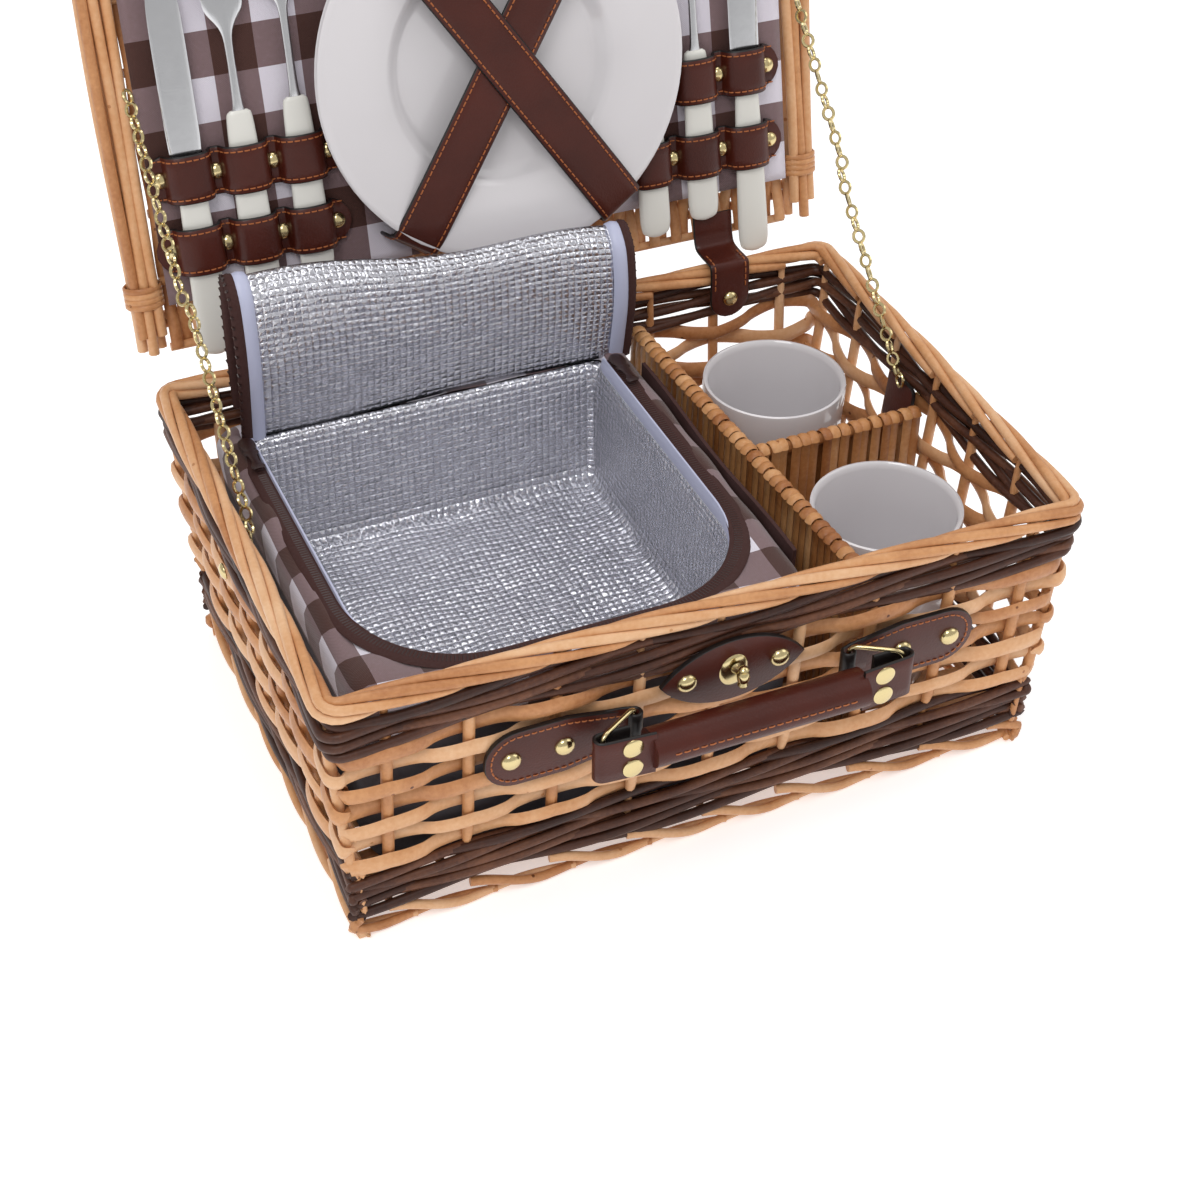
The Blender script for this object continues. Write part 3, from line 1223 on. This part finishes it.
def cutlery():
    """Knives, forks and spoons: cream acrylic handles with bright steel heads."""
    # where each one lies: across the lid, and its handle's end up from the hinge line
    starts = {
        "knife_left": (-0.160, -0.004), "fork_left": (-0.130, 0.025), "spoon_left": (-0.100, 0.027),
        "spoon_right": (0.0945, 0.009), "fork_right": (0.1245, 0.013), "knife_right": (0.1545, -0.011),
    }
    for name, (x, start) in starts.items():
        made = Bundle()
        handle_bar = (
            (0, 2.5, 1.4, 0), (1.5, 6.6, 2.2, 0), (5, 8.6, 2.5, 0), (16, 9.2, 2.5, 0), (60, 8.2, 2.4, 0),
            (90, 7.0, 2.2, 0), (95, 5.2, 1.6, 0), (95.5, 3, 1.2, 0),
        )
        lofted(made, handle_bar, x, start, 0)
        if name.startswith("knife"):
            blade = (
                (94, 4, 1.0, 0), (100, 5.5, 1.0, 0), (108, 8.4, 0.9, 0), (150, 8.8, 0.8, 0),
                (182, 8.2, 0.7, 0), (194, 5.5, 0.6, 0), (199.5, 1.5, 0.4, 0),
            )
            lofted(made, blade, x, start, 1)
        elif name.startswith("spoon"):
            neck = (
                (94, 4, 1.2, 0), (100, 2.6, 1.4, 0), (125, 2.2, 1.2, 0), (142, 3.0, 1.0, 0),
                (150, 8.0, 1.0, -0.4), (164, 12.3, 1.1, -1.0), (178, 10.8, 1.0, -0.8), (187, 5.5, 0.8, 0),
                (189.6, 1.5, 0.5, 0),
            )
            lofted(made, neck, x, start, 1)
        else:
            neck = (
                (94, 4, 1.2, 0), (100, 2.6, 1.4, 0), (125, 2.2, 1.2, 0), (136, 3.5, 1.0, 0),
                (146, 9.6, 0.9, 0), (154, 10.6, 0.8, 0), (156, 10.4, 0.7, 0),
            )
            lofted(made, neck, x, start, 1)
            for k in range(4):
                dx = (k - 1.5) * 5.6 * MM
                tine = (
                    (152, 2.0, 0.8, 0), (160, 1.7, 0.8, -0.3), (180, 1.4, 0.7, -0.2), (193, 1.0, 0.6, 0.3),
                    (194.8, 0.4, 0.4, 0.4),
                )
                lofted(made, tine, x + dx, start, 1)
        made.make(f"{name}_set", ["ivory", "steel"], name, [name])


# ---------------------------------------------------------------- cooler and lining


def outline_loop(left, right, front, back, front_radius, back_radius, count):
    """The cooler's outline seen from above, at even spacing from the middle of the back."""
    corners = (
        (right, back, back_radius), (left, back, back_radius), (left, front, front_radius),
        (right, front, front_radius),
    )
    points = np.array(rounded([(x, y, max(radius, 1 * MM)) for x, y, radius in corners], 14))
    points = np.column_stack([points, np.zeros(len(points))])
    # begin after the middle of the back, going left
    start = np.argmax((points[:, 1] > back - 1e-6) & (points[:, 0] < (left + right) / 2))
    middle = np.array([[(left + right) / 2, back, 0]])
    return resample(np.vstack([middle, np.roll(points, -start, 0)]), count)[:, :2]


def loft(rings, floor=False):
    """The vertices and faces of a shell through rings (outline, height) of equal counts."""
    count = len(rings[0][0])
    verts, faces = [], []
    for points, height in rings:
        verts += list(np.column_stack([points, np.full(count, height)]))
    for j in range(len(rings) - 1):
        for i in range(count):
            k = (i + 1) % count
            faces.append((j * count + i, j * count + k, (j + 1) * count + k, (j + 1) * count + i))
    if floor:
        faces.append(tuple(range((len(rings) - 1) * count, len(rings) * count)))
    return verts, faces


def face_uv(made):
    """Cloth coordinates on every face, read flat from the side it faces."""
    data = made.data
    layer = data.uv_layers.get("cloth") or data.uv_layers.new(name="cloth")
    for f in data.polygons:
        a = [abs(c) for c in f.normal]
        for k in f.loop_indices:
            v = data.vertices[data.loops[k].vertex_index].co
            if a[2] >= max(a[0], a[1]) * 0.8:
                layer.data[k].uv = (v.x, v.y)
            elif a[1] > a[0]:
                layer.data[k].uv = (v.x, v.z)
            else:
                layer.data[k].uv = (v.y, v.z)


def wobble(points, size, reach):
    """A slow waver added to points, the same each run."""
    p = np.asarray(points)
    return size * (
        np.sin(p[:, 0] * reach + 1.3) * np.cos(p[:, 1] * reach * 1.3 + 0.4)
        + 0.5 * np.sin(p[:, 0] * reach * 2.3 - p[:, 1] * reach * 1.7)
    )


def cooler():
    """The insulated bag: gingham outside, zip round its mouth, pale binding and a foil lining."""
    low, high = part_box("cooler_bag")
    l, r, f, b = low.x, high.x, low.y, high.y
    top = high.z
    n = 200

    def outline(inset, front_radius, back_radius):
        return outline_loop(l + inset, r - inset, f + inset, b - inset, front_radius, back_radius, n)

    def square(inset):
        return outline(inset, 20 * MM, 14 * MM)

    def ring(inset, front, back=14 * MM):
        return outline(inset, max(front - inset, 4 * MM), max(back - inset, 2 * MM))

    outer = [
        (square(9 * MM), low.z + 1.0 * MM), (square(7.6 * MM), low.z + 4 * MM),
        (square(6 * MM), low.z + 30 * MM), (square(3.4 * MM), low.z + 70 * MM),
        (square(2.4 * MM), top - 26 * MM), (square(1.2 * MM), top - 14 * MM),
        (square(0.9 * MM), top - 6 * MM), (square(2.6 * MM), top - 1.6 * MM),
        (square(6.5 * MM), top + 0.6 * MM),
    ]
    mouth = 12.5 * MM
    wide = ring(mouth, 78 * MM, 14 * MM)
    outer += [
        (0.6 * outer[-1][0] + 0.4 * wide, top + 0.9 * MM), (wide, top - 0.6 * MM),
        (ring(mouth + 3 * MM, 78 * MM), top - 3.5 * MM),
    ]
    verts, faces = loft(outer)
    verts = np.array(verts)
    verts[:, 2] += wobble(verts[:, :2], 0.9 * MM, 75) * (verts[:, 2] > top - 8 * MM)
    faces.append(tuple(range(n - 1, -1, -1)))
    index = [1 if verts[list(f), 2].mean() < top - 26 * MM else 0 for f in faces]
    bag = piece("bag_cloth", verts, faces, ["gingham", "grey"], None, index=index, smooth=60)
    face_uv(bag)
    outward(bag)
    thick = bag.modifiers.new("Cloth", "SOLIDIFY")
    thick.thickness, thick.offset = 1.0 * MM, -1
    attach(bag, "cooler")
    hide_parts("cooler_bag")
    # foil lining: walls that bow and a soft floor
    floor = top - 79 * MM
    rings = [
        (ring(17 * MM, 76 * MM), top - 3.4 * MM), (ring(19 * MM, 76 * MM), top - 6 * MM),
        (ring(20 * MM, 74 * MM), top - 20 * MM), (ring(21 * MM, 72 * MM), top - 45 * MM),
        (ring(21.5 * MM, 70 * MM), floor + 10 * MM), (ring(23 * MM, 68 * MM), floor + 3 * MM),
        (ring(27 * MM, 66 * MM), floor + 0.6 * MM), (ring(40 * MM, 60 * MM), floor),
        (ring(60 * MM, 52 * MM), floor + 0.6 * MM), (ring(85 * MM, 32 * MM), floor),
        (ring(105 * MM, 14 * MM), floor),
    ]
    verts, faces = loft(rings, floor=True)
    verts = np.array(verts)
    verts[:, 2] += wobble(verts[:, :2], 1.2 * MM, 60) * (verts[:, 2] < floor + 5 * MM)
    foil = piece("bag_foil", verts, faces, ["foil"], None, smooth=60)
    face_uv(foil)
    outward(foil, inside_out=True)
    thick = foil.modifiers.new("Film", "SOLIDIFY")
    thick.thickness, thick.offset = 0.8 * MM, -1
    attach(foil, "cooler")
    # binding and zip follow the mouth
    for name, inset, z, across, out, what in (
        ("mouth_binding", 17.4 * MM, top - 3.4 * MM, 1.5 * MM, 6.4 * MM, "vinyl"),
        ("mouth_tape", 12.6 * MM, top + 0.4 * MM, 5.4 * MM, 1.2 * MM, "tape"),
    ):
        path = ring(inset, 77 * MM)
        p = np.column_stack([path, np.full(n, z)])
        strip = Bundle()
        # the binding runs out towards the front, where the film meets the zip
        thin = np.clip((path[:, 1] - f - 20 * MM) / (60 * MM), 0.12, 1) if what == "vinyl" else np.ones(n)
        thin = np.minimum(thin, np.clip((b - 20 * MM - path[:, 1]) / (6 * MM), 0.08, 1))
        p[:, 2] -= (1 - thin) * 4 * MM * (path[:, 1] > 0)
        strip.add(p, np.tile([0, 0, 1.0], (n, 1)), ellipse(across, out, 10), 0.5, True, thin)
        covers = ["cooler_zip"] if name == "mouth_tape" else []
        strip.make(name, [what], "cooler", covers)
    path = ring(mouth + 0.6 * MM, 78 * MM)
    p = np.column_stack([path, np.full(n, top + 1.2 * MM)])
    teeth = Bundle()
    run = resample(p, 420)
    for i, at in enumerate(run):
        if at[1] > b - 26 * MM:
            continue
        ahead = run[(i + 1) % len(run)] - run[i - 1]
        side = unit(np.cross(ahead, [0, 0, 1.0]))
        teeth.add(
            np.array([at - side * 2.1 * MM, at, at + side * 2.1 * MM]), np.tile([0, 0, 1.0], (3, 1)),
            ellipse(0.55 * MM, 0.55 * MM, 5), 0.5,
        )
    teeth.make("zip_teeth", ["teeth"], "cooler")


def flap():
    """The cooler's lid pad, standing at the back: foil face, pale binding, brown zip edge, curled over."""
    low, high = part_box("cooler_flap")
    x = np.linspace(low.x - 6 * MM, high.x + 10 * MM, 40)
    back = high.y
    zb = low.z
    h = high.z - low.z
    section = [
        (-2.0, -0.06), (-4.6, 0.2), (-6.6, 0.45), (-6.2, 0.7), (-2.8, 0.93), (5.4, 1.03), (10.5, 0.95),
        (12.6, 0.7), (12.0, 0.4), (9.6, 0.1),
    ]
    sec = smooth_path([(a * MM, z * h, 0) for a, z in section], 36)[:, :2]
    rows = []
    for i, px in enumerate(x):
        t = i / (len(x) - 1)
        rise = 1.14 - 0.22 * t + 0.035 * math.sin(9 * t)
        swell = 1 + 0.35 * math.sin(7 * t + 0.4)
        px += 0.8 * MM * math.sin(11 * t)
        rows.append(
            [(px, back - 13 * MM + (a * swell if a < 0 else a), zb - 1.5 * MM + z * rise) for a, z in sec]
        )
    rows = np.array(rows)
    m, k = rows.shape[:2]
    verts = rows.reshape(-1, 3)
    faces = [
        (i * k + j, i * k + j + 1, (i + 1) * k + j + 1, (i + 1) * k + j) for i in range(m - 1)
        for j in range(k - 1)
    ]
    run = np.concatenate([[0], np.cumsum(np.linalg.norm(np.diff(rows[0], axis=0), axis=1))])
    uv = np.array([(x[i], run[j]) for i in range(m) for j in range(k)])
    index = []
    for i in range(m - 1):
        for j in range(k - 1):
            index.append(1 if i in (0, m - 2) else 0)
    made = piece(
        "flap_pad", verts, faces, ["foil", "vinyl", "gingham"], None, uv=uv, index=index, smooth=60
    )
    thick = made.modifiers.new("Pad", "SOLIDIFY")
    thick.thickness, thick.offset = 3.0 * MM, 1
    thick.material_offset = 0
    bpy.context.view_layer.objects.active = made
    bpy.ops.object.select_all(action="DESELECT")
    made.select_set(True)
    bpy.ops.object.modifier_apply(modifier="Pad")
    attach(made, "flap")
    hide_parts("cooler_flap")
    soft = [made]
    for side, i in ((-1, 0), (1, m - 1)):
        edge = rows[i]
        n = np.tile([float(side), 0, 0], (k, 1))
        for what, shift, wide in (("vinyl", -side * 2.5, 4.6), ("tape", side * 2.6, 3.4)):
            band = Bundle()
            band.add(edge + np.array([shift * MM, 0, 0]), n, ellipse(2.6 * MM, wide * MM, 8), 0.5)
            obj = band.make(f"flap_{what}_{'left' if side < 0 else 'right'}", [what], "flap")
            soft.append(obj)
        teeth = Bundle()
        for at, ahead in zip(edge[1:-1], edge[2:] - edge[:-2]):
            out = unit(np.cross(ahead, [float(side), 0, 0]))
            base = at + np.array([side * 5.6 * MM, 0, 0])
            teeth.add(
                np.array([base - out * 0.2 * MM, base + out * 2.6 * MM]),
                np.tile([float(side), 0, 0], (2, 1)), ellipse(0.7 * MM, 0.7 * MM, 5), 0.5,
            )
        soft.append(teeth.make(f"flap_teeth_{'left' if side < 0 else 'right'}", ["teeth"], "flap"))
    for obj in soft:
        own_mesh(obj)


def bag_fittings():
    """The webbing strap beside the bag and the two zip pullers."""
    low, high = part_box("cooler_strap")
    y = np.linspace(low.y, high.y, 40)
    x = (low.x + high.x) / 2
    p = np.column_stack([np.full(40, x), y, high.z - 10 * MM - 3 * MM * np.cos((y - MID_Y) * 22) ** 2])
    web = Bundle()
    t, w = 1.0 * MM, 11.5 * MM
    web.add(p, np.tile([1.0, 0, 0], (40, 1)), [(-w, -t), (w, -t), (w, t), (-w, t)], 0.5)
    web.make("webbing_strap", ["tape"], "cooler", ["cooler_strap"])
    for name in ("zip_pull_left", "zip_pull_right"):
        low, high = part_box(name)
        mid = (low + high) / 2 - Vector((0, 0, 0.6 * MM))
        puller = Bundle()
        flat = [np.array([mid.x, y, mid.z]) for y in np.linspace(high.y - 12 * MM, low.y, 10)]
        grow = [1.0, 1.0, 0.62, 0.55, 0.5, 0.5, 0.6, 0.85, 0.95, 0.6]
        puller.add(
            np.array(flat), np.tile([0, 0, 1.0], (10, 1)), ellipse(4.0 * MM, 0.9 * MM, 12), 0.5, False, grow
        )
        slide = [np.array([mid.x, y, mid.z]) for y in np.linspace(high.y, high.y - 12 * MM, 8)]
        puller.add(
            np.array(slide), np.tile([0, 0, 1.0], (8, 1)), ellipse(4.4 * MM, 1.1 * MM, 12), 0.5, False,
            [0.55, 0.9, 1, 1, 1, 0.9, 0.75, 0.5],
        )
        puller.make(name.replace("zip_pull", "zip_puller"), ["teeth"], name, [name])


def lining():
    """The gingham cloth stretched over the lid's inner face."""
    nx, ny = 74, 50
    half, low, high = 0.1800, 0.0245, 0.2735
    xs, ss = np.linspace(-half, half, nx), np.linspace(low, high, ny)
    verts, uv = [], []
    for s in ss:
        for x in xs:
            edge = min(half - abs(x), s - low, high - s)
            lift = 0.5 * MM * math.sin(x * 70 + s * 31) * math.sin(s * 55 + 1)
            lift += 0.3 * MM * math.sin(x * 170 - s * 90)
            verts.append(on_lid(x, s, -0.9 * MM + lift * min(1, edge / 0.012)))
            uv.append((x, s))
    faces = [
        (j * nx + i, j * nx + i + 1, (j + 1) * nx + i + 1, (j + 1) * nx + i) for j in range(ny - 1)
        for i in range(nx - 1)
    ]
    made = piece("lid_cloth", verts, faces, ["gingham"], None, uv=np.array(uv), smooth=60)
    thick = made.modifiers.new("Cloth", "SOLIDIFY")
    thick.thickness, thick.offset = 0.8 * MM, -1
    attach(made, "lid")
    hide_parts("lid_lining")


# ---------------------------------------------------------------- stage


def stage():
    """A pale floor, soft studio light and the camera."""
    bpy.ops.object.select_all(action="DESELECT")
    bpy.ops.mesh.primitive_plane_add(size=14, location=(0, 0, -0.0006))
    floor = bpy.context.object
    floor.name = "studio_floor"
    bpy.ops.object.transform_apply(location=True)
    paper = surface(
        "matt_white_paper", Roughness=0.9, Base_Color=rgb("#F4F4F5"), Emission_Color=rgb("#FFFFFF"),
        Emission_Strength=0.42,
    )[0]
    floor.data.materials.append(paper)
    world = bpy.data.worlds.new("studio")
    bpy.context.scene.world = world
    world.use_nodes = True
    world.node_tree.nodes["Background"].inputs[0].default_value = rgb("#FFFFFF")
    world.node_tree.nodes["Background"].inputs[1].default_value = 0.62
    for name, place, power, size in (
        ("key", (-0.9, -1.1, 2.0), 17, 0.9), ("fill", (1.5, -0.6, 1.5), 6, 1.2),
        ("top", (0.1, 0.6, 2.3), 10, 1.2),
    ):
        light = bpy.data.lights.new(name, "AREA")
        light.energy, light.size = power, size
        lamp = bpy.data.objects.new(name, light)
        bpy.context.scene.collection.objects.link(lamp)
        lamp.location = place
        lamp.rotation_euler = (Vector((0, 0, 0.1)) - Vector(place)).to_track_quat("-Z", "Y").to_euler()
    data = bpy.data.cameras.new("camera")
    data.lens, data.sensor_width = 68.0, 36.0
    data.clip_start = 0.02
    camera = bpy.data.objects.new("camera", data)
    bpy.context.scene.collection.objects.link(camera)
    forward, up = Vector((0.31684, 0.70708, -0.63219)).normalized(), Vector((0.24347, 0.58356, 0.77471))
    right = forward.cross(up).normalized()
    up = right.cross(forward)
    turn = Matrix((right, up, -forward)).transposed().to_4x4()
    camera.matrix_world = Matrix.Translation((-0.38576, -0.85468 + MID_Y, 0.82387)) @ turn
    bpy.context.scene.camera = camera
    bpy.context.scene.view_settings.view_transform = "Standard"


STEPS = (
    ("Stage", stage),
    ("Base walls", base_walls),
    ("Borders", borders),
    ("Base bottom", base_bottom),
    ("Lid wicker", lid_wicker),
    ("Partitions", partitions),
    ("Lining", lining),
    ("Cooler", cooler),
    ("Flap", flap),
    ("Bag fittings", bag_fittings),
    ("Mugs", mugs),
    ("Plates", plates),
    ("Cutlery", cutlery),
    ("Lid straps", lid_straps),
    ("Hinges", hinges),
    ("Chains", chains),
    ("Lock", lock),
    ("Handle", handle),
    ("Hasp", hasp),
)
OPERATORS = [operator(label, work) for label, work in STEPS]


class BASKET_PT_panel(bpy.types.Panel):
    """Lists the settings and the steps."""

    bl_label = "Wicker basket"
    bl_idname = "BASKET_PT_panel"
    bl_space_type = "VIEW_3D"
    bl_region_type = "UI"
    bl_category = "Basket"

    def draw(self, context):
        for key in BasketSettings.__annotations__:
            self.layout.prop(context.scene.basket, key)
        for each in OPERATORS:
            self.layout.operator(each.bl_idname)


CLASSES = (BasketSettings, *OPERATORS, BASKET_PT_panel)


def register():
    """Adds the settings, the steps and the panel."""
    for each in CLASSES:
        bpy.utils.register_class(each)
    bpy.types.Scene.basket = bpy.props.PointerProperty(type=BasketSettings)


def unregister():
    """Takes them away again."""
    del bpy.types.Scene.basket
    for each in reversed(CLASSES):
        bpy.utils.unregister_class(each)


def main():
    """Runs every step, then writes both boxes."""
    register()
    for each in OPERATORS:
        area, name = each.bl_idname.split(".")
        getattr(getattr(bpy.ops, area), name)()


if __name__ == "__main__":
    main()
